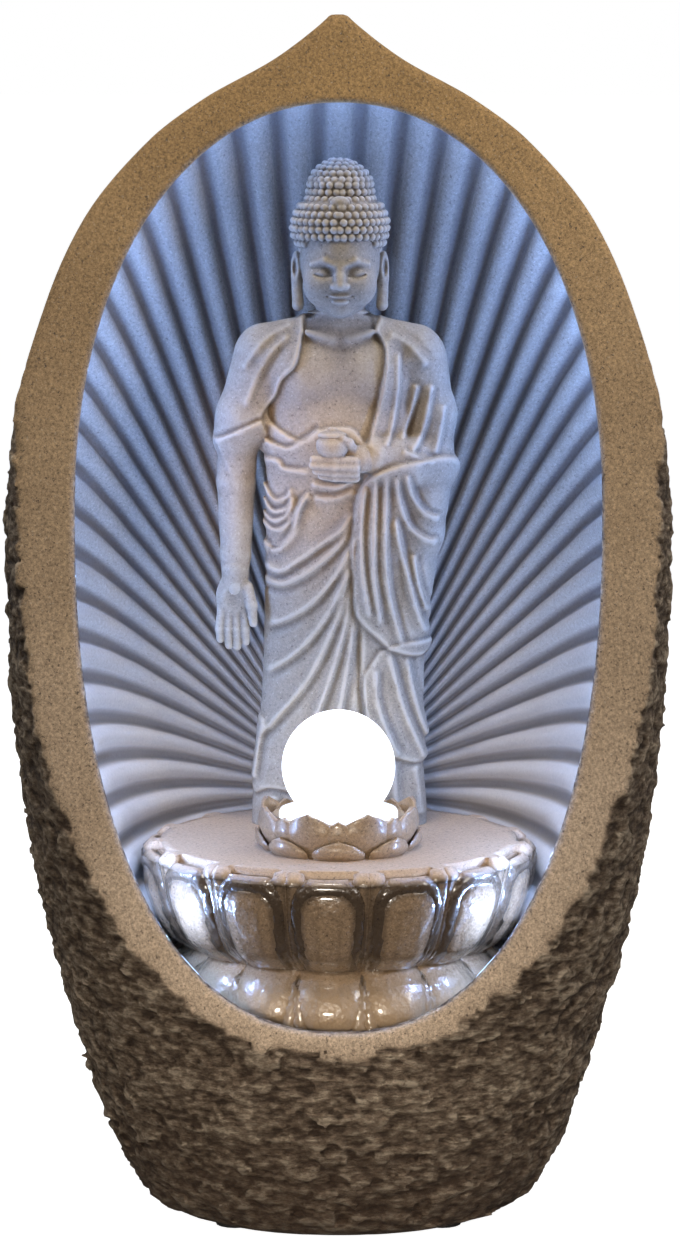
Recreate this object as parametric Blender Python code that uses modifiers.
"""Tabletop water fountain: a stone-look cast shell with a ribbed niche, a standing figure,
a lotus throne that water runs over, a lit ball in a lotus cup, and the pump and lights inside.

Frame: metres, +Z up, the niche opens towards -Y. The origin is under the middle of the base.
"""

import math

import bmesh
import bpy
from mathutils import Matrix, Vector

# ---------------------------------------------------------------- driving dimensions
BODY_HEIGHT = 0.640
FOOT_HEIGHT = 0.003  # rubber feet below the base
WALL = 0.008  # cast shell
FACE_THICKNESS = 0.010  # the sawn band round the opening
MESH_GAP = 0.0004  # left between pieces that touch

FACE_FOOT_Z = 0.110  # lowest point of the sawn face
FACE_FOOT_Y = -0.125
FACE_LEAN = 0.274  # how far the face leans back for each metre up

FACE_WIDE_Z = 0.390
FACE_HALF_WIDTH = 0.1685
FACE_ROUNDNESS = 2.2

OPENING_HALF_WIDTH = 0.138
OPENING_WIDE_Z = 0.388
OPENING_FOOT_Z = 0.120
OPENING_TOP_Z = 0.593

SECTION_ROUNDNESS = 2.2  # 2 is an ellipse, more is squarer

# height and half-width of the silhouette
SIDE_PROFILE = [
    (0.003, 0.085), (0.008, 0.101), (0.020, 0.112), (0.055, 0.1277), (0.110, 0.1450),
    (0.187, 0.1634), (0.275, 0.1744), (0.361, 0.1775), (0.426, 0.1713), (0.489, 0.1542),
    (0.532, 0.1348), (0.574, 0.0997), (0.595, 0.0716), (0.616, 0.0339), (0.632, 0.0123),
    (0.6385, 0.0050),
]
# height and depth behind the middle
BACK_PROFILE = [
    (0.003, 0.082), (0.008, 0.092), (0.030, 0.100), (0.090, 0.1135), (0.180, 0.1235),
    (0.270, 0.1250), (0.380, 0.1235), (0.470, 0.1150), (0.540, 0.0985), (0.590, 0.0760),
    (0.620, 0.0510), (0.6385, 0.0330),
]
# height and depth in front of the middle, below the sawn face
BELLY_PROFILE = [
    (0.003, -0.085), (0.008, -0.096), (0.030, -0.107), (0.070, -0.1185), (0.110, -0.1250),
]

RIB_COUNT = 45
RIB_DEPTH = 0.0030
NICHE_FOOT = Vector((0.0, 0.095, 0.205))  # where the ribs meet
NICHE_GROW = 0.010  # the liner's rim stands this far outside the opening
LINER_WALL = 0.0035
NICHE_DROP = math.radians(25)  # how far below the horizontal the ribs go on each side

TUB_FLOOR_Z = 0.0120
TUB_WALL = 0.0035

DECK_Z = 0.1975  # top of the lotus throne
DECK_RADIUS = 0.103
DECK_THICKNESS = 0.005
THRONE_CENTRE_Y = -0.010
THRONE_FOOT_Z = 0.1145
THRONE_WALL = 0.005
PETAL_COUNT = 15
PETAL_START = math.radians(-93.1)

CUP_CENTRE_Y = -0.036  # lotus cup, ball, lamp, riser and pump outlet share this axis
CUP_RADIUS = 0.043
BALL_RADIUS = 0.030
BALL_CENTRE_Z = 0.2450
LEAD_HOLE = (0.044, 0.005)  # notch in the deck where the lamp's lead goes down
LEAD_START = Vector((0, CUP_CENTRE_Y, 0.1995))
LEAD_WAY = (LEAD_HOLE[0], LEAD_HOLE[1] - CUP_CENTRE_Y, 0)

BASE_SCREWS = [(-0.048, -0.006), (0.048, -0.006), (0.0, -0.058), (0.0, 0.050)]

PUMP_Z = 0.044  # height of the impeller's axis
PUMP_FLOOR_Z = 0.0215

FIGURE_Y = 0.034
FIGURE_FOOT_Z = DECK_Z + MESH_GAP

HATCH_Z = 0.155
HATCH_HALF_WIDTH = 0.042
HATCH_HALF_HEIGHT = 0.030
HATCH_GAP = 0.0008

SOCKET_X = 0.068
SOCKET_Z = 0.142

SPLICE = Vector((0.060, 0.087, 0.160))  # where the leads join
STRIP_START = -1.12  # angle on the opening where the light strip begins


# ---------------------------------------------------------------- curves and sections
def smooth_curve(points, at):
    """The value at a place on a smooth curve through (place, value) points that never overshoots."""
    if at <= points[0][0]:
        return points[0][1]
    if at >= points[-1][0]:
        return points[-1][1]
    last = len(points) - 1
    slopes = [(points[i + 1][1] - points[i][1]) / (points[i + 1][0] - points[i][0]) for i in range(last)]

    def tangent(i):
        if i in (0, last):
            return slopes[0 if i == 0 else last - 1]
        before, after = slopes[i - 1], slopes[i]
        return 0.0 if before * after <= 0 else 2 * before * after / (before + after)

    i = max(k for k in range(last) if points[k][0] <= at)
    span = points[i + 1][0] - points[i][0]
    t = (at - points[i][0]) / span
    return (
        (2 * t**3 - 3 * t**2 + 1) * points[i][1]
        + (t**3 - 2 * t**2 + t) * span * tangent(i)
        + (3 * t**2 - 2 * t**3) * points[i + 1][1]
        + (t**3 - t**2) * span * tangent(i + 1)
    )


def smoothstep(low, high, at):
    t = min(1.0, max(0.0, (at - low) / (high - low)))
    return t * t * (3 - 2 * t)


def arch(share, roundness):
    """Height of a superellipse quarter at a share from 0 to 1 of its run."""
    return max(0.0, 1.0 - min(1.0, abs(share)) ** roundness) ** (1.0 / roundness)


def face_y(z):
    return FACE_FOOT_Y + FACE_LEAN * (z - FACE_FOOT_Z)


def face_half_width(z):
    """Half-width of the sawn face's outer edge."""
    if z <= FACE_FOOT_Z:
        return 0.0
    below = max(0.0, FACE_WIDE_Z - z) / (FACE_WIDE_Z - FACE_FOOT_Z)
    return min(smooth_curve(SIDE_PROFILE, z), FACE_HALF_WIDTH * arch(below, FACE_ROUNDNESS))


def opening_point(angle, grow=0.0):
    """(x, z) on the opening's outline. Angle 0 is +X at the widest height and 90 degrees is the top."""
    below = math.sin(angle) < 0
    roundness = 2.3 if below else 2.1
    height = (OPENING_WIDE_Z - OPENING_FOOT_Z if below else OPENING_TOP_Z - OPENING_WIDE_Z) + grow
    c, s = math.cos(angle), math.sin(angle)
    x = math.copysign(abs(c) ** (2 / roundness), c) * (OPENING_HALF_WIDTH + grow)
    z = OPENING_WIDE_Z + math.copysign(abs(s) ** (2 / roundness), s) * height
    return x, z


def widest_y(z):
    """Where the body is widest, front to back. It comes forward to the face near the top."""
    return face_y(z) * smoothstep(0.340, 0.470, z)


def section(z, inset=0.0, face_inset=0.0, front_steps=6, back_steps=9):
    """Points round the body's horizontal section: the face's +X corner, the back, the face's -X corner."""
    full = smooth_curve(SIDE_PROFILE, z)
    middle, front = widest_y(z), face_y(z)
    if z > FACE_FOOT_Z:
        share = min(face_half_width(z) / full, 0.9999)
        reach = max(middle - front, 1e-5) / arch(share, SECTION_ROUNDNESS)
    else:
        reach = middle - smooth_curve(BELLY_PROFILE, z)
    reach -= inset
    half = full - inset
    cut = (middle - front - face_inset) / reach if z > FACE_FOOT_Z else 1.0
    start = math.asin(arch(min(max(cut, 0.0), 1.0), SECTION_ROUNDNESS) ** (SECTION_ROUNDNESS / 2))
    depth = smooth_curve(BACK_PROFILE, z) - inset - middle
    power = 2 / SECTION_ROUNDNESS
    side = []
    for i in range(front_steps):
        angle = start + (math.pi / 2 - start) * i / front_steps
        side.append((half * math.sin(angle) ** power, middle - reach * math.cos(angle) ** power))
    for i in range(back_steps + 1):
        angle = math.pi / 2 * i / back_steps
        side.append((half * max(0.0, math.cos(angle)) ** power, middle + depth * math.sin(angle) ** power))
    side[-1] = (0.0, side[-1][1])
    if z > FACE_FOOT_Z:
        side = [(x, max(y, front + face_inset)) for x, y in side]
    return [Vector((x, y, z)) for x, y in side] + [Vector((-x, y, z)) for x, y in reversed(side[:-1])]


# ---------------------------------------------------------------- mesh helpers
def empty_scene():
    for obj in list(bpy.data.objects):
        bpy.data.objects.remove(obj, do_unlink=True)
    for name in ("tabletop_fountain", "cutters"):
        collection = bpy.data.collections.new(name)
        bpy.context.scene.collection.children.link(collection)


def add_object(name, data, collection="tabletop_fountain"):
    obj = bpy.data.objects.new(name, data)
    bpy.data.collections[collection].objects.link(obj)
    return obj


def new_material(name, colour, roughness, metallic=0.0, transmission=0.0):
    material = bpy.data.materials.new(name)
    material.use_nodes = True
    shader = material.node_tree.nodes["Principled BSDF"]
    shader.inputs["Base Color"].default_value = (*colour, 1.0)
    shader.inputs["Roughness"].default_value = roughness
    shader.inputs["Metallic"].default_value = metallic
    shader.inputs["Transmission Weight"].default_value = transmission
    return material


def mesh_from(name, bm, collection="tabletop_fountain", material=None):
    bmesh.ops.remove_doubles(bm, verts=bm.verts, dist=1e-6)
    bmesh.ops.dissolve_degenerate(bm, edges=bm.edges, dist=1e-6)
    bmesh.ops.recalc_face_normals(bm, faces=bm.faces)
    mesh = bpy.data.meshes.new(name)
    bm.to_mesh(mesh)
    bm.free()
    mesh.shade_smooth()
    mesh.set_sharp_from_angle(angle=math.radians(35))
    obj = add_object(name, mesh, collection)
    if material:
        mesh.materials.append(material)
    return obj


def loft(name, loops, collection="tabletop_fountain", material=None):
    """A closed solid through loops of equal length, with its two ends capped."""
    bm = bmesh.new()
    rings = [[bm.verts.new(point) for point in loop] for loop in loops]
    count = len(rings[0])
    for low, high in zip(rings, rings[1:]):
        for i in range(count):
            bm.faces.new((low[i], low[(i + 1) % count], high[(i + 1) % count], high[i]))
    bm.faces.new(list(reversed(rings[0])))
    bm.faces.new(rings[-1])
    return mesh_from(name, bm, collection, material)


def ring(radius, z, x=0.0, y=0.0, sides=32, y_radius=None):
    return [
        Vector((
            x + radius * math.cos(2 * math.pi * i / sides),
            y + (y_radius or radius) * math.sin(2 * math.pi * i / sides),
            z,
        ))
        for i in range(sides)
    ]


def turned(name, profile, place, material, axis=(0, 0, 1), sides=32, collection="tabletop_fountain"):
    """A round piece: a (radius, height) profile turned about an axis through place.

    It runs down the outer side. One that begins off the axis is a sleeve and closes round its wall.
    """
    mesh = bpy.data.meshes.new(name)
    bm = bmesh.new()
    verts = [bm.verts.new((radius, 0.0, height)) for radius, height in profile]
    for upper, lower in zip(verts, verts[1:]):
        bm.edges.new((upper, lower))
    if profile[0][0] > 0:
        bm.edges.new((verts[-1], verts[0]))
    bm.to_mesh(mesh)
    bm.free()
    if material:
        mesh.materials.append(material)
    obj = add_object(name, mesh, collection)
    screw = obj.modifiers.new("turn", "SCREW")
    screw.axis = "Z"
    screw.steps = screw.render_steps = sides
    screw.use_merge_vertices = True
    screw.merge_threshold = 0.00001
    screw.use_smooth_shade = False
    obj.location = place
    obj.rotation_mode = "QUATERNION"
    obj.rotation_quaternion = Vector((0, 0, 1)).rotation_difference(Vector(axis))
    return obj


def tube_profile(outer, inner, low, high):
    """Profile of a sleeve, closed round its wall."""
    return [(outer, high), (outer, low), (inner, low), (inner, high)]


def bar(
    name, radius, low, high, place, material=None, axis=(0, 0, 1), sides=32, collection="tabletop_fountain",
):
    """A cylinder between two heights along an axis through place."""
    bm = bmesh.new()
    bmesh.ops.create_cone(
        bm, cap_ends=True, segments=sides, radius1=radius, radius2=radius, depth=high - low
    )
    bmesh.ops.translate(bm, verts=bm.verts, vec=(0, 0, (low + high) / 2))
    turn = Vector((0, 0, 1)).rotation_difference(Vector(axis)).to_matrix().to_4x4()
    obj = mesh_from(name, bm, collection, material)
    obj.matrix_world = Matrix.Translation(place) @ turn
    return obj


def sleeve(name, outer, inner, low, high, place, material, axis=(0, 0, 1), sides=32):
    """A tube: a cylinder with a bore cut through it."""
    obj = bar(name, outer, low, high, place, material, axis, sides)
    slack = 0.002
    cut(obj, bar(name + "_bore", inner, low - slack, high + slack, place, None, axis, sides, "cutters"))
    return obj


def box(name, size, centre, material=None, bevel=0.0, collection="tabletop_fountain"):
    bm = bmesh.new()
    bmesh.ops.create_cube(bm, size=1.0)
    bmesh.ops.scale(bm, vec=size, verts=bm.verts)
    obj = mesh_from(name, bm, collection, material)
    obj.location = centre
    if bevel:
        rounded = obj.modifiers.new("edges", "BEVEL")
        rounded.width = bevel
        rounded.segments = 2
        rounded.limit_method = "ANGLE"
    return obj


def cut(obj, cutter, operation="DIFFERENCE"):
    """Adds a Boolean and hides the cutter."""
    cutter.hide_render = True
    cutter.display_type = "WIRE"
    boolean = obj.modifiers.new("cut_" + cutter.name, "BOOLEAN")
    boolean.operation = operation
    boolean.solver = "EXACT"
    boolean.object = cutter
    return obj


def wire(name, points, radius, material, smooth=5):
    """A cable or tube along a smooth curve through its route's points, with filled caps."""
    ends = [2 * points[0] - points[1]] + points + [2 * points[-1] - points[-2]]
    path = []
    for a, b, c, d in zip(ends, ends[1:], ends[2:], ends[3:]):
        for i in range(smooth):
            t = i / smooth
            path.append(
                0.5 * (
                    2 * b + (c - a) * t + (2 * a - 5 * b + 4 * c - d) * t**2 + (3 * b - a - 3 * c + d) * t**3
                )
            )
    path.append(points[-1])
    curve = bpy.data.curves.new(name, "CURVE")
    curve.dimensions = "3D"
    curve.bevel_depth = radius
    curve.bevel_resolution = 2
    curve.use_fill_caps = True
    spline = curve.splines.new("POLY")
    spline.points.add(len(path) - 1)
    for point, place in zip(spline.points, path):
        point.co = (*place, 1.0)
    curve.materials.append(material)
    return add_object(name, curve)


# ---------------------------------------------------------------- shell, niche and reservoir
def shell_heights():
    """Levels for the body's sections, close together where the face begins and at the tip."""
    low = [0.003, 0.006, 0.012, 0.024, 0.045, 0.075, 0.100, FACE_FOOT_Z]
    rise = FACE_WIDE_Z - FACE_FOOT_Z
    face = [FACE_FOOT_Z + rise * (1 - math.cos(math.pi / 2 * i / 10)) for i in range(1, 11)]
    top = [0.415, 0.430, 0.445, 0.470, 0.495, 0.520, 0.545, 0.565, 0.582, 0.596, 0.608, 0.619, 0.629, 0.6385]
    return low + face + top


def body_solid(name, inset, face_inset, heights, collection):
    return loft(name, [section(z, inset, face_inset) for z in heights], collection)


def opening_cutter(name, grow, front, back):
    """A slab with the opening's outline, sheared to follow the leaning face."""
    steps = 60
    outline = [opening_point(2 * math.pi * i / steps, grow) for i in range(steps)]
    loops = [[Vector((x, face_y(z) + y, z)) for x, z in outline] for y in (front, back)]
    return loft(name, loops, "cutters")


def inner_heights():
    return [-0.010] + [z for z in shell_heights() if 0.003 < z < 0.612]


def add_rock_shell(stone):
    shell = body_solid("rock_shell", 0.0, 0.0, shell_heights(), "tabletop_fountain")
    shell.data.materials.append(stone)
    cut(shell, body_solid("shell_hollow", WALL, FACE_THICKNESS, inner_heights(), "cutters"))
    cut(shell, opening_cutter("opening", 0.0, -0.030, FACE_THICKNESS + 0.004))
    hole = box(
        "hatch_hole", (2 * HATCH_HALF_WIDTH, 0.10, 2 * HATCH_HALF_HEIGHT), (0, 0.130, HATCH_Z), None, 0.008,
        "cutters",
    )
    cut(shell, hole)
    cut(
        shell,
        bar("socket_hole", 0.0062, 0.060, 0.150, (SOCKET_X, 0, SOCKET_Z), None, (0, 1, 0), 24, "cutters"),
    )
    cut(
        shell,
        box(
            "socket_spot_face", (0.022, 0.020, 0.022), (SOCKET_X, socket_face_y() + 0.010, SOCKET_Z), None, 0,
            "cutters",
        ),
    )


def socket_face_y():
    """Where the flat round the power socket lies: just inside the curved back."""
    loop = section(SOCKET_Z - 0.011, 0.0, 0.0, 6, 60)
    return min(p.y for p in loop if SOCKET_X - 0.011 < p.x < SOCKET_X + 0.011 and p.y > 0) - 0.0002


def niche_back(share, upness):
    """How deep the niche is, from 0 at its rim to 1 at the ribs' foot, along a ray."""
    return arch(share, 2.7 - 0.2 * upness)


def niche_rim(angle):
    """(x, y, z) where the ray at this angle above +X, from the ribs' foot, meets the liner's rim."""
    direction = Vector((math.cos(angle), math.sin(angle)))
    low, high = 0.0, 0.6
    for _ in range(40):
        middle = (low + high) / 2
        x, z = direction.x * middle, NICHE_FOOT.z + direction.y * middle
        inside = inside_opening(x, z, NICHE_GROW)
        low, high = (middle, high) if inside else (low, middle)
    x, z = direction.x * low, NICHE_FOOT.z + direction.y * low
    return Vector((x, face_y(z) + FACE_THICKNESS + MESH_GAP, z))


def inside_opening(x, z, grow):
    below = z < OPENING_WIDE_Z
    roundness = 2.3 if below else 2.1
    height = (OPENING_WIDE_Z - OPENING_FOOT_Z if below else OPENING_TOP_Z - OPENING_WIDE_Z) + grow
    across, up = abs(x) / (OPENING_HALF_WIDTH + grow), abs(z - OPENING_WIDE_Z) / height
    return across**roundness + up**roundness < 1.0


def niche_point(angle, share, rib):
    """A point of the niche's wall on the ray at this angle, at a share of the way to the rim."""
    rim = niche_rim(angle)
    depth = niche_back(share, math.sin(angle))
    y = rim.y + (NICHE_FOOT.y - rim.y) * depth
    lift = RIB_DEPTH * rib * smoothstep(0.15, 0.45, share) * smoothstep(1.0, 0.97, share)
    return Vector((rim.x * share, y - lift, NICHE_FOOT.z + (rim.z - NICHE_FOOT.z) * share))


def liner_y(x, z):
    """Depth of the niche's wall at a place seen from the front."""
    angle = math.atan2(z - NICHE_FOOT.z, abs(x))
    rim = niche_rim(angle)
    share = min(1.0, math.hypot(x, z - NICHE_FOOT.z) / math.hypot(rim.x, rim.z - NICHE_FOOT.z))
    return rim.y + (NICHE_FOOT.y - rim.y) * niche_back(share, math.sin(angle))


def equal_rim_angles(count):
    """The angles of rays that divide the liner's rim into this many equal lengths."""
    steps = 8 * count
    sweep = [-NICHE_DROP + (math.pi + 2 * NICHE_DROP) * i / steps for i in range(steps + 1)]
    rim = [niche_rim(angle).xz for angle in sweep]
    passed = [0.0]
    for first, second in zip(rim, rim[1:]):
        passed.append(passed[-1] + (second - first).length)
    angles, i = [], 0
    for n in range(count + 1):
        length = passed[-1] * n / count
        while i < steps - 1 and passed[i + 1] < length:
            i += 1
        share = (length - passed[i]) / (passed[i + 1] - passed[i])
        angles.append(sweep[i] + (sweep[i + 1] - sweep[i]) * share)
    return angles


def add_niche_liner(sandstone):
    """The scallop: ribs that spread from a point behind the figure, over and below the horizontal."""
    shares = [0.0, 0.17, 0.36, 0.56, 0.74, 0.86, 0.94, 1.0]
    columns = 2 * RIB_COUNT
    bm = bmesh.new()
    foot = bm.verts.new(NICHE_FOOT)
    grid = []
    for i, angle in enumerate(equal_rim_angles(columns)):
        rib = 0.0 if i in (0, columns) else i % 2
        grid.append([foot] + [bm.verts.new(niche_point(angle, share, rib)) for share in shares[1:]])
    for first, second in zip(grid, grid[1:]):
        bm.faces.new((foot, first[1], second[1]))
        for k in range(1, len(shares) - 1):
            bm.faces.new((first[k], first[k + 1], second[k + 1], second[k]))
    # the sheet faces forward, so that its wall grows backwards
    bmesh.ops.recalc_face_normals(bm, faces=bm.faces)
    if sum(face.normal.y * face.calc_area() for face in bm.faces) > 0:
        bmesh.ops.reverse_faces(bm, faces=bm.faces)
    mesh = bpy.data.meshes.new("niche_liner")
    bm.to_mesh(mesh)
    bm.free()
    mesh.materials.append(sandstone)
    liner = add_object("niche_liner", mesh)
    wall = liner.modifiers.new("wall", "SOLIDIFY")
    wall.thickness = LINER_WALL
    wall.offset = -1.0
    wall.use_even_offset = False


def add_reservoir_tub(plastic):
    heights = [TUB_FLOOR_Z, 0.020, 0.035, 0.060, 0.085, 0.105]
    outside, inside = WALL + 0.0015, WALL + 0.0015 + TUB_WALL
    tub = body_solid("reservoir_tub", outside, FACE_THICKNESS + 0.0035, heights, "tabletop_fountain")
    tub.data.materials.append(plastic)
    hollow = [TUB_FLOOR_Z + TUB_WALL, 0.020, 0.035, 0.060, 0.085, 0.109]
    cut(tub, body_solid("tub_hollow", inside, FACE_THICKNESS + 0.0035 + TUB_WALL, hollow, "cutters"))
    for number, (x, y) in enumerate(BASE_SCREWS, 1):
        boss = bar(f"boss_{number}", 0.0060, 0.0078, 0.0140, (x, y, 0), None, (0, 0, 1), 16, "cutters")
        cut(tub, boss, "UNION")
        cut(tub, bar(f"boss_hole_{number}", 0.0018, 0.0, 0.0120, (x, y, 0), None, (0, 0, 1), 12, "cutters"))


def add_base(plastic, rubber, steel):
    plate = loft(
        "base_plate",
        [section_at(0.0045, 0.0150, z) for z in (0.0034, 0.0074)],
        material=plastic,
    )
    for number, (x, y) in enumerate([(-0.055, -0.050), (0.055, -0.050), (-0.055, 0.048), (0.055, 0.048)], 1):
        peg = bar(f"peg_hole_{number}", 0.0042, 0.0, 0.010, (x, y, 0), None, (0, 0, 1), 16, "cutters")
        cut(plate, peg)
        profile = [
            (0.0, 0.0066), (0.0037, 0.0066), (0.0037, FOOT_HEIGHT), (0.009, FOOT_HEIGHT), (0.0105, 0.0),
            (0.0, 0.0),
        ]
        turned(f"foot_{number}", profile, (x, y, 0), rubber, sides=16)
    for number, (x, y) in enumerate(BASE_SCREWS, 1):
        cut(plate, bar(f"head_hole_{number}", 0.0036, 0.0, 0.0056, (x, y, 0), None, (0, 0, 1), 16, "cutters"))
        cut(plate, bar(f"shank_hole_{number}", 0.0019, 0.0, 0.010, (x, y, 0), None, (0, 0, 1), 12, "cutters"))
        profile = [
            (0.0, 0.0116), (0.0014, 0.0116), (0.0014, 0.0052), (0.0032, 0.0052), (0.0032, 0.0034),
            (0.0, 0.0034),
        ]
        turned(f"base_screw_{number}", profile, (x, y, 0), steel, sides=12)


def section_at(shape_z, inset, z):
    """The body's section at one height, shrunk by an inset and moved to another height."""
    return [Vector((p.x, p.y, z)) for p in section(shape_z, inset)]


# ---------------------------------------------------------------- lotus throne, figure and cup
def throne_radius(z):
    """The throne's outline: an upper bowl of upright petals over a lower row that flares out."""
    return smooth_curve(
        [
            (THRONE_FOOT_Z, 0.0900), (0.122, 0.0890), (0.133, 0.0850), (0.142, 0.0770), (0.146, 0.0750),
            (0.150, 0.0800), (0.158, 0.0900), (0.170, 0.0965), (0.184, 0.1005), (DECK_Z, DECK_RADIUS),
        ],
        z,
    )


def petal_bulge(angle):
    """How far a petal stands out, from 0 in the groove between two to 1 along its middle."""
    turn = ((angle - PETAL_START) / (2 * math.pi) * PETAL_COUNT + 0.5) % 1.0
    return math.sin(math.pi * turn) ** 0.5


def niche_limit(angle, z, inset):
    """How far the throne can reach from its centre before it meets the niche's wall."""
    direction = Vector((math.cos(angle), math.sin(angle)))
    low, high = 0.0, 0.2
    for _ in range(24):
        middle = (low + high) / 2
        x, y = direction.x * middle, THRONE_CENTRE_Y + direction.y * middle
        low, high = (middle, high) if y < liner_y(x, z) else (low, middle)
    return low - inset


def throne_loop(z, inset, relief):
    loop, steps = [], 4 * PETAL_COUNT
    for i in range(steps):
        angle = PETAL_START + 2 * math.pi * i / steps
        radius = throne_radius(z) - inset - relief * (1 - petal_bulge(angle))
        if z > 0.150 and math.sin(angle) > -0.3:
            radius = min(radius, niche_limit(angle, z, 0.0035 + inset))
        loop.append(Vector((radius * math.cos(angle), THRONE_CENTRE_Y + radius * math.sin(angle), z)))
    return loop


def add_throne(sandstone):
    heights = [THRONE_FOOT_Z, 0.122, 0.133, 0.142, 0.146, 0.150, 0.158, 0.170, 0.184, 0.1935, DECK_Z]
    reliefs = [0.0030, 0.0030, 0.0020, 0.0010, 0.0010, 0.0012, 0.0025, 0.0025, 0.0025, 0.0015, 0.0]
    loops = [throne_loop(z, 0.0, relief) for z, relief in zip(heights, reliefs)]
    throne = loft("lotus_throne", loops, material=sandstone)
    hollow = [THRONE_FOOT_Z - 0.004, 0.133, 0.142, 0.150, 0.160, DECK_Z - DECK_THICKNESS]
    cavity = []
    for z in hollow:
        inset = THRONE_WALL + (0.005 if z > 0.150 else 0.003)
        cavity.append([Vector((p.x, p.y, z)) for p in throne_loop(max(z, THRONE_FOOT_Z), inset, 0.0)])
    cut(throne, loft("throne_hollow", cavity, "cutters"))
    window = box("service_window", (0.084, 0.080, 0.090), (0, 0.085, 0.147), None, 0, "cutters")
    cut(throne, window)
    cut(throne, bar("riser_hole", 0.0094, 0.180, 0.210, (0, CUP_CENTRE_Y, 0), None, (0, 0, 1), 24, "cutters"))
    cut(
        throne,
        bar("figure_screw_hole", 0.0022, 0.180, 0.210, (0, FIGURE_Y, 0), None, (0, 0, 1), 16, "cutters"),
    )
    cut(throne, bar("lead_hole", 0.0052, 0.180, 0.210, (*LEAD_HOLE, 0), None, (0, 0, 1), 16, "cutters"))


def add_deck_posts(plastic):
    foot = TUB_FLOOR_Z + TUB_WALL + MESH_GAP
    top = DECK_Z - DECK_THICKNESS - MESH_GAP
    places = [(-0.056, -0.026), (0.056, -0.026), (-0.050, 0.020), (0.050, 0.020)]
    for number, (x, y) in enumerate(places, 1):
        profile = [
            (0.0, top), (0.0070, top), (0.0070, top - 0.004), (0.0045, top - 0.008),
            (0.0045, foot + 0.006), (0.0080, foot), (0.0, foot),
        ]
        turned(f"deck_post_{number}", profile, (x, y, 0), plastic, sides=16)


def figure_oval(x, y, z, a, b, sides=28):
    return ring(a, z, x, y, sides, b)


def add_figure(sandstone):
    """The figure's plain solid: robe, shoulders, head with its topknot, and both arms."""
    y = FIGURE_Y
    foot = FIGURE_FOOT_Z
    robe = [
        (foot, 0, 0.002, 0.047, 0.024), (0.230, 0, 0.001, 0.046, 0.023), (0.270, 0, 0.000, 0.043, 0.023),
        (0.320, 0, 0.000, 0.042, 0.024), (0.360, 0, 0.000, 0.041, 0.024), (0.395, 0, 0.001, 0.040, 0.023),
        (0.425, 0, 0.002, 0.046, 0.023), (0.450, 0, 0.003, 0.050, 0.022), (0.468, 0, 0.004, 0.044, 0.019),
        (0.478, 0, 0.004, 0.026, 0.015), (0.484, 0, 0.003, 0.016, 0.014), (0.496, 0, 0.002, 0.014, 0.014),
    ]
    figure = loft(
        "figure", [figure_oval(x, y + back, z, a, b) for z, x, back, a, b in robe], material=sandstone
    )
    head = [(0.484, 0.010, 0.013), (0.490, 0.017, 0.020), (0.503, 0.022, 0.026), (0.518, 0.0235, 0.0275),
            (0.533, 0.0235, 0.0270), (0.541, 0.0190, 0.0220), (0.5500, 0.0150, 0.0160),
            (0.5580, 0.0100, 0.0110),
            (0.5620, 0.0040, 0.0040)]
    cut(
        figure, loft("head", [figure_oval(0, y - 0.002, z, a, b, 24) for z, a, b in head], "cutters"), "UNION"
    )
    right_arm = [(0.300, -0.0535, -0.010, 0.006, 0.004), (0.315, -0.0545, -0.009, 0.011, 0.006),
                 (0.335, -0.0540, -0.006, 0.008, 0.007), (0.370, -0.0530, 0.000, 0.011, 0.010),
                 (0.400, -0.0510, 0.002, 0.012, 0.012), (0.430, -0.0470, 0.003, 0.014, 0.014),
                 (0.460, -0.0400, 0.004, 0.013, 0.013)]
    left_sleeve = [(0.355, 0.0460, 0.000, 0.010, 0.010), (0.385, 0.0490, 0.000, 0.013, 0.014),
                   (0.415, 0.0480, 0.002, 0.014, 0.015), (0.445, 0.0440, 0.003, 0.014, 0.014),
                   (0.466, 0.0380, 0.004, 0.010, 0.010)]
    for name, limb in (("right_arm", right_arm), ("left_sleeve", left_sleeve)):
        loops = [figure_oval(x, y + back, z, a, b, 16) for z, x, back, a, b in limb]
        cut(figure, loft(name, loops, "cutters"), "UNION")
    forearm = bar(
        "left_forearm", 0.0105, -0.028, 0.028, (0.022, y - 0.026, 0.404), None, (1, 0.15, -0.08), 16,
        "cutters",
    )
    cut(figure, forearm, "UNION")
    cut(figure, bar("figure_screw_bore", 0.0021, 0.190, 0.215, (0, y, 0), None, (0, 0, 1), 16, "cutters"))


def add_figure_screw(steel):
    low = DECK_Z - DECK_THICKNESS - MESH_GAP
    profile = [
        (0.0, 0.2130), (0.0017, 0.2110), (0.0017, low), (0.0040, low), (0.0040, low - 0.0025),
        (0.0, low - 0.0025),
    ]
    turned("figure_screw", profile, (0, FIGURE_Y, 0), steel, sides=16)


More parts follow.
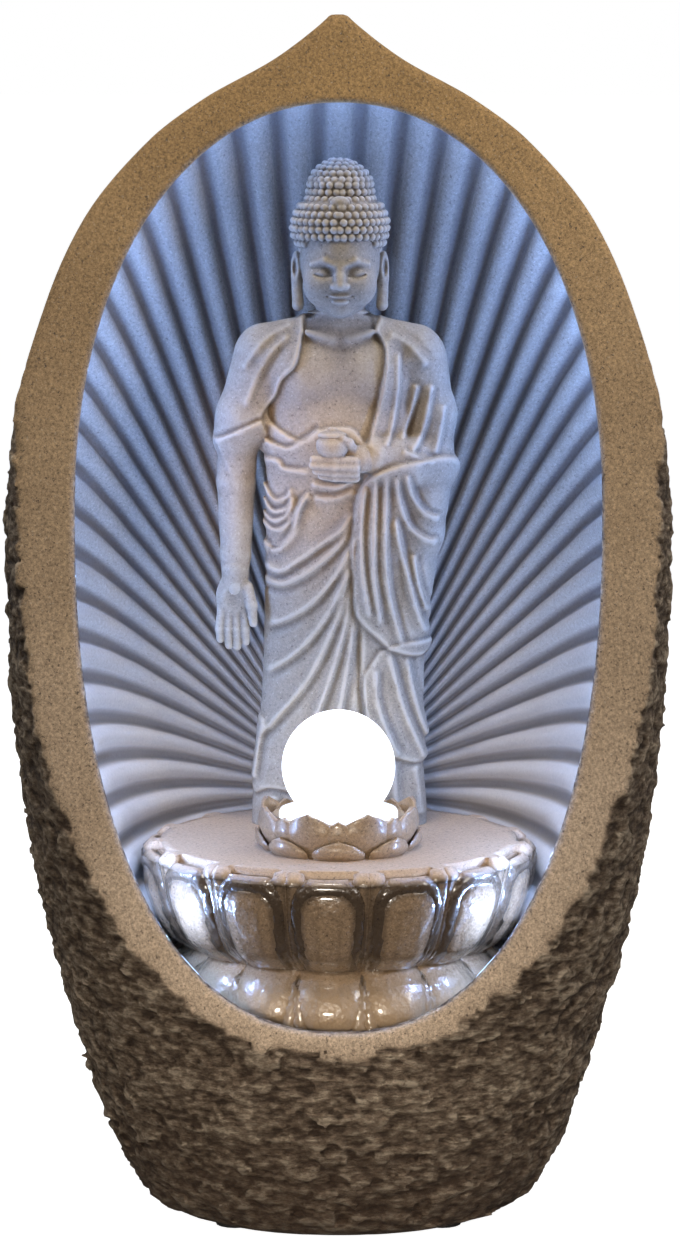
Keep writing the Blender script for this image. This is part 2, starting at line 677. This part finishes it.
def add_lotus_cup(sandstone, clear, glass):
    place = (0, CUP_CENTRE_Y, 0)
    foot = DECK_Z + MESH_GAP
    cup = [
        (0.0425, 0.2262), (CUP_RADIUS, 0.2250), (0.0415, 0.2150), (0.0385, 0.2060), (0.0340, 0.2000),
        (0.0320, foot), (0.0215, foot), (0.0215, 0.2166), (0.0325, 0.2166), (0.0390, 0.2240),
    ]
    lotus = turned("lotus_cup", cup, place, sandstone, sides=36)
    cut(lotus, bar("lead_slot", 0.0016, 0.015, 0.050, LEAD_START, None, LEAD_WAY, 12, "cutters"))
    socket = [
        (0.0300, 0.2226), (0.0315, 0.2210), (0.0315, 0.2170), (0.0205, 0.2170), (0.0205, 0.2110),
        (0.0075, 0.2110), (0.0075, 0.21544), (0.0135, 0.21765), (0.0200, 0.22197), (0.0208, 0.2226),
    ]
    turned("ball_socket", socket, place, clear, sides=36)
    bm = bmesh.new()
    bmesh.ops.create_uvsphere(bm, u_segments=28, v_segments=14, radius=BALL_RADIUS)
    ball = mesh_from("ball", bm, material=glass)
    ball.location = (0, CUP_CENTRE_Y, BALL_CENTRE_Z)


def add_ring_lamp(plastic, board, clear):
    """A ring lamp round the jet, under the ball: housing, board with LEDs, and a clear lens."""
    place = (0, CUP_CENTRE_Y, 0)
    low = DECK_Z + MESH_GAP
    housing = [
        (0.0205, 0.2075), (0.0205, low), (0.0095, low), (0.0095, 0.2075), (0.0110, 0.2075),
        (0.0110, low + 0.0020),
        (0.0190, low + 0.0020), (0.0190, 0.2075),
    ]
    lamp = turned("lamp_housing", housing, place, plastic, sides=32)
    cut(lamp, bar("lead_entry", 0.0014, 0.0165, 0.024, LEAD_START, None, LEAD_WAY, 12, "cutters"))
    top = low + 0.0030
    turned("lamp_board", tube_profile(0.0186, 0.0114, top, top + 0.0016), place, board, sides=32)
    for number in range(1, 5):
        angle = math.pi / 2 * number + math.pi / 4
        x, y = 0.0150 * math.cos(angle), CUP_CENTRE_Y + 0.0150 * math.sin(angle)
        led = box(
            f"lamp_led_{number}", (0.0035, 0.0028, 0.0012), (x, y, top + 0.0016 + 0.0003 + 0.0006), clear,
        )
        led.rotation_euler.z = angle
    turned("lamp_lens", tube_profile(0.0186, 0.0114, 0.2056, 0.2074), place, clear, sides=32)


def add_riser(tube, plastic):
    """The jet passes up through the lamp, and the riser pushes onto it from below."""
    place = (0, CUP_CENTRE_Y, 0)
    sleeve("jet_nozzle", 0.0060, 0.0035, 0.1880, 0.2106, place, plastic, sides=24)
    sleeve("riser_tube", 0.0090, 0.0064, 0.0720, 0.1960, place, tube, sides=24)


# ---------------------------------------------------------------- pump
def add_pump(plastic, dark, rubber, ceramic, magnet):
    """A small submersible pump: potted motor, chamber with its outlet up, intake cover and rotor."""
    axis = (0, 1, 0)
    hub = Vector((0, CUP_CENTRE_Y, PUMP_Z))
    floor = PUMP_FLOOR_Z
    motor = box(
        "pump_motor", (0.046, 0.036, 0.044), (0, CUP_CENTRE_Y + 0.0105 + 0.018, floor + 0.022), dark, 0.003,
    )
    cut(motor, bar("rotor_well", 0.0090, -0.010, 0.0403, hub, None, axis, 24, "cutters"))
    cut(motor, bar("bush_seat", 0.0049, 0.030, 0.0442, hub, None, axis, 16, "cutters"))
    chamber = box(
        "pump_chamber", (0.042, 0.0160, 0.040), (0, CUP_CENTRE_Y + 0.0020, floor + 0.022), dark, 0.002,
    )
    outlet = bar("pump_outlet", 0.0060, 0.052, 0.0860, (0, CUP_CENTRE_Y, 0), None, (0, 0, 1), 24, "cutters")
    cut(chamber, outlet, "UNION")
    cut(chamber, bar("impeller_well", 0.0150, -0.020, 0.0070, hub, None, axis, 32, "cutters"))
    cut(chamber, bar("rotor_passage", 0.0090, -0.020, 0.030, hub, None, axis, 24, "cutters"))
    cut(
        chamber,
        bar("outlet_bore", 0.0040, 0.046, 0.0900, (0, CUP_CENTRE_Y, 0), None, (0, 0, 1), 24, "cutters"),
    )
    add_intake(hub, floor, plastic)
    impeller = bar("impeller", 0.0048, -0.0050, 0.0055, hub, plastic, axis, 24)
    cut(impeller, bar("rotor_magnet", 0.0080, 0.0050, 0.0400, hub, None, axis, 24, "cutters"), "UNION")
    for blade in range(3):
        vane = box(f"impeller_vane_{blade}", (0.0256, 0.0080, 0.0014), (0, 0, 0), None, 0, "cutters")
        vane.matrix_world = Matrix.Translation(hub + Vector((0, -0.0005, 0))) @ Matrix.Rotation(
            math.pi / 3 * blade, 4, "Y"
        )
        cut(impeller, vane, "UNION")
    cut(impeller, bar("shaft_bore", 0.00128, -0.010, 0.046, hub, None, axis, 16, "cutters"))
    bar("impeller_shaft", 0.0012, -0.0078, 0.0436, hub, ceramic, axis, 16)
    sleeve("shaft_bush_rear", 0.0045, 0.00126, 0.0408, 0.0438, hub, rubber, axis, 16)


def add_intake(hub, floor, plastic):
    """Intake cover with five slots, and the slider that throttles them from outside."""
    front = CUP_CENTRE_Y - 0.0060 - 0.0004
    cover = box(
        "pump_intake_cover", (0.040, 0.0060, 0.038), (0, front - 0.0030, floor + 0.022), plastic, 0.0015,
    )
    for slot in range(5):
        x = (slot - 2) * 0.0052
        cut(
            cover,
            box(f"intake_slot_{slot}", (0.0026, 0.020, 0.014), (x, front, PUMP_Z + 0.0075), None, 0, "cutters"),
        )
    cut(cover, bar("shaft_seat", 0.0016, -0.0082, -0.0020, hub, None, (0, 1, 0), 16, "cutters"))
    face = front - 0.0060
    rest = PUMP_Z - 0.0105
    slider = box("flow_slider", (0.0280, 0.0020, 0.0140), (0, face - 0.0014, rest), plastic, 0.0004)
    cut(
        slider, box("slider_thumb", (0.0140, 0.0034, 0.0025), (0, face - 0.0030, rest), None, 0, "cutters"),
        "UNION",
    )
    for side in (-1, 1):
        rail = (side * 0.0155, face - 0.0010, floor + 0.022)
        cut(cover, box(f"rail_{side}", (0.0020, 0.0040, 0.0340), rail, None, 0, "cutters"), "UNION")


def add_suction_cups(rubber):
    low = TUB_FLOOR_Z + TUB_WALL + MESH_GAP
    profile = [
        (0.0, PUMP_FLOOR_Z - MESH_GAP), (0.0030, PUMP_FLOOR_Z - MESH_GAP), (0.0030, low + 0.0030),
        (0.0075, low + 0.0010), (0.0078, low), (0.0, low),
    ]
    places = [(-0.014, 0.009), (0.014, 0.009), (-0.014, -0.009), (0.014, -0.009)]
    middle = CUP_CENTRE_Y + 0.0285
    for number, (x, y) in enumerate(places, 1):
        turned(f"suction_cup_{number}", profile, (x, middle + y, 0), rubber, sides=16)


# ---------------------------------------------------------------- lights, wiring and hatch
def strip_path(points=34):
    """Up one side of the opening, over the top and down the other, behind the face."""
    start = STRIP_START
    path = []
    for i in range(points):
        angle = start + (math.pi - 2 * start) * i / (points - 1)
        x, z = opening_point(angle, 0.0036)
        path.append(Vector((x, face_y(z) + FACE_THICKNESS + 0.0034, z)))
    return path


def add_light_strip(silicone):
    wire("light_strip", strip_path(), 0.0023, silicone, smooth=1)


def add_hatch(stone, plastic):
    """The rear hatch is the piece sawn out of the back, on a frame glued inside."""
    hatch = box(
        "rear_hatch",
        (2 * (HATCH_HALF_WIDTH - HATCH_GAP), 0.06, 2 * (HATCH_HALF_HEIGHT - HATCH_GAP)),
        (0, 0.110, HATCH_Z), stone, 0.0075,
    )
    heights = [0.10, 0.115, 0.130, 0.145, 0.160, 0.175, 0.190, 0.205]
    cut(hatch, body_solid("hatch_outside", 0.0, 0.0, heights, "cutters"), "INTERSECT")
    cut(hatch, body_solid("hatch_inside", WALL, FACE_THICKNESS, heights, "cutters"))
    cut(
        hatch,
        bar("finger_hole", 0.0090, 0.080, 0.160, (0, 0, HATCH_Z + 0.012), None, (0, 1, 0), 24, "cutters"),
    )
    frame = box(
        "hatch_frame",
        (2 * HATCH_HALF_WIDTH + 0.014, 0.06, 2 * HATCH_HALF_HEIGHT + 0.012), (0, 0.100, HATCH_Z), plastic,
        0.008,
    )
    cut(frame, body_solid("frame_outside", WALL + MESH_GAP, FACE_THICKNESS, heights, "cutters"), "INTERSECT")
    cut(frame, body_solid("frame_inside", WALL + MESH_GAP + 0.0028, FACE_THICKNESS, heights, "cutters"))
    hole = (2 * HATCH_HALF_WIDTH - 0.010, 0.10, 2 * HATCH_HALF_HEIGHT - 0.010)
    cut(frame, box("frame_hole", hole, (0, 0.100, HATCH_Z), None, 0.006, "cutters"))


def add_power_socket(dark, steel, plastic):
    face = socket_face_y()
    place = Vector((SOCKET_X, 0, SOCKET_Z))
    body = bar("power_socket", 0.0055, face - 0.0165, face + 0.0018, place, dark, (0, 1, 0), 24)
    cut(
        body,
        bar("socket_flange", 0.0078, face + 0.0003, face + 0.0018, place, None, (0, 1, 0), 24, "cutters"),
        "UNION",
    )
    cut(
        body, bar("socket_mouth", 0.0030, face - 0.0100, face + 0.0060, place, None, (0, 1, 0), 20, "cutters"),
    )
    cut(
        body, bar("socket_pin", 0.0010, face - 0.0110, face + 0.0005, place, None, (0, 1, 0), 12, "cutters"),
        "UNION",
    )
    nut = bar("socket_nut", 0.0080, face - 0.0125, face - 0.0100, place, steel, (0, 1, 0), 6)
    cut(nut, bar("nut_bore", 0.0059, face - 0.0160, face - 0.0060, place, None, (0, 1, 0), 24, "cutters"))
    box("splice_block", (0.016, 0.008, 0.010), (*SPLICE.xy, SPLICE.z), plastic, 0.001)


def add_leads(black):
    """Leads from the pump, the ring lamp and the light strip, joined beside the power socket."""
    top, bottom = SPLICE.z + 0.0068, SPLICE.z - 0.0074
    along = Vector(LEAD_WAY).normalized()
    wire(
        "pump_lead",
        [
            Vector((0.012, 0.0108, 0.056)), Vector((0.014, 0.030, 0.060)), Vector((0.020, 0.060, 0.090)),
            Vector((0.028, 0.080, 0.118)), Vector((0.042, 0.0900, 0.132)), Vector(
                (SPLICE.x - 0.004, SPLICE.y, bottom),
            ),
        ],
        0.0018, black, 4,
    )
    wire(
        "lamp_lead",
        [
            LEAD_START + along * 0.0178, LEAD_START + along * 0.030, LEAD_START + along * 0.050,
            Vector((LEAD_HOLE[0] - 0.0008, LEAD_HOLE[1] - 0.0008, 0.1960)),
            Vector((LEAD_HOLE[0], LEAD_HOLE[1], 0.1840)), Vector((0.0380, 0.034, 0.170)),
            Vector((0.0340, 0.056, 0.160)), Vector((0.0400, 0.078, 0.166)),
            Vector((SPLICE.x - 0.004, SPLICE.y, top)),
        ],
        0.0011, black, 4,
    )
    end = strip_path()[0]
    wire(
        "strip_lead",
        [
            end + Vector((-0.001, 0.004, -0.006)), end + Vector((0.004, 0.012, -0.016)),
            Vector((0.108, -0.045, 0.140)), Vector((0.116, 0.000, 0.139)), Vector((0.108, 0.045, 0.141)),
            Vector((0.086, 0.078, 0.166)), Vector((SPLICE.x + 0.004, SPLICE.y, top)),
        ],
        0.0011, black, 4,
    )


def main():
    empty_scene()
    stone = new_material("chiselled_stone", (0.115, 0.078, 0.050), 0.85)
    sandstone = new_material("sandstone", (0.52, 0.41, 0.30), 0.70)
    glass = new_material("ball_glass", (0.92, 0.96, 1.0), 0.05, transmission=0.6)
    clear = new_material("clear_acrylic", (0.85, 0.90, 0.95), 0.08, transmission=0.8)
    black = new_material("black_plastic", (0.02, 0.02, 0.022), 0.45)
    grey = new_material("grey_plastic", (0.20, 0.21, 0.22), 0.50)
    rubber = new_material("rubber", (0.03, 0.03, 0.03), 0.80)
    steel = new_material("steel", (0.62, 0.62, 0.60), 0.30, metallic=1.0)
    ceramic = new_material("ceramic", (0.85, 0.84, 0.80), 0.25)
    board = new_material("lamp_board_white", (0.80, 0.80, 0.78), 0.50)
    silicone = new_material("strip_silicone", (0.80, 0.86, 0.95), 0.40)

    add_rock_shell(stone)
    add_niche_liner(sandstone)
    add_reservoir_tub(grey)
    add_base(black, rubber, steel)
    add_throne(sandstone)
    add_deck_posts(grey)
    add_figure(sandstone)
    add_figure_screw(steel)
    add_lotus_cup(sandstone, clear, glass)
    add_ring_lamp(grey, board, clear)
    add_riser(clear, grey)
    add_pump(grey, black, rubber, ceramic, steel)
    add_suction_cups(rubber)
    add_light_strip(silicone)
    add_hatch(stone, grey)
    add_power_socket(black, steel, grey)
    add_leads(black)


main()
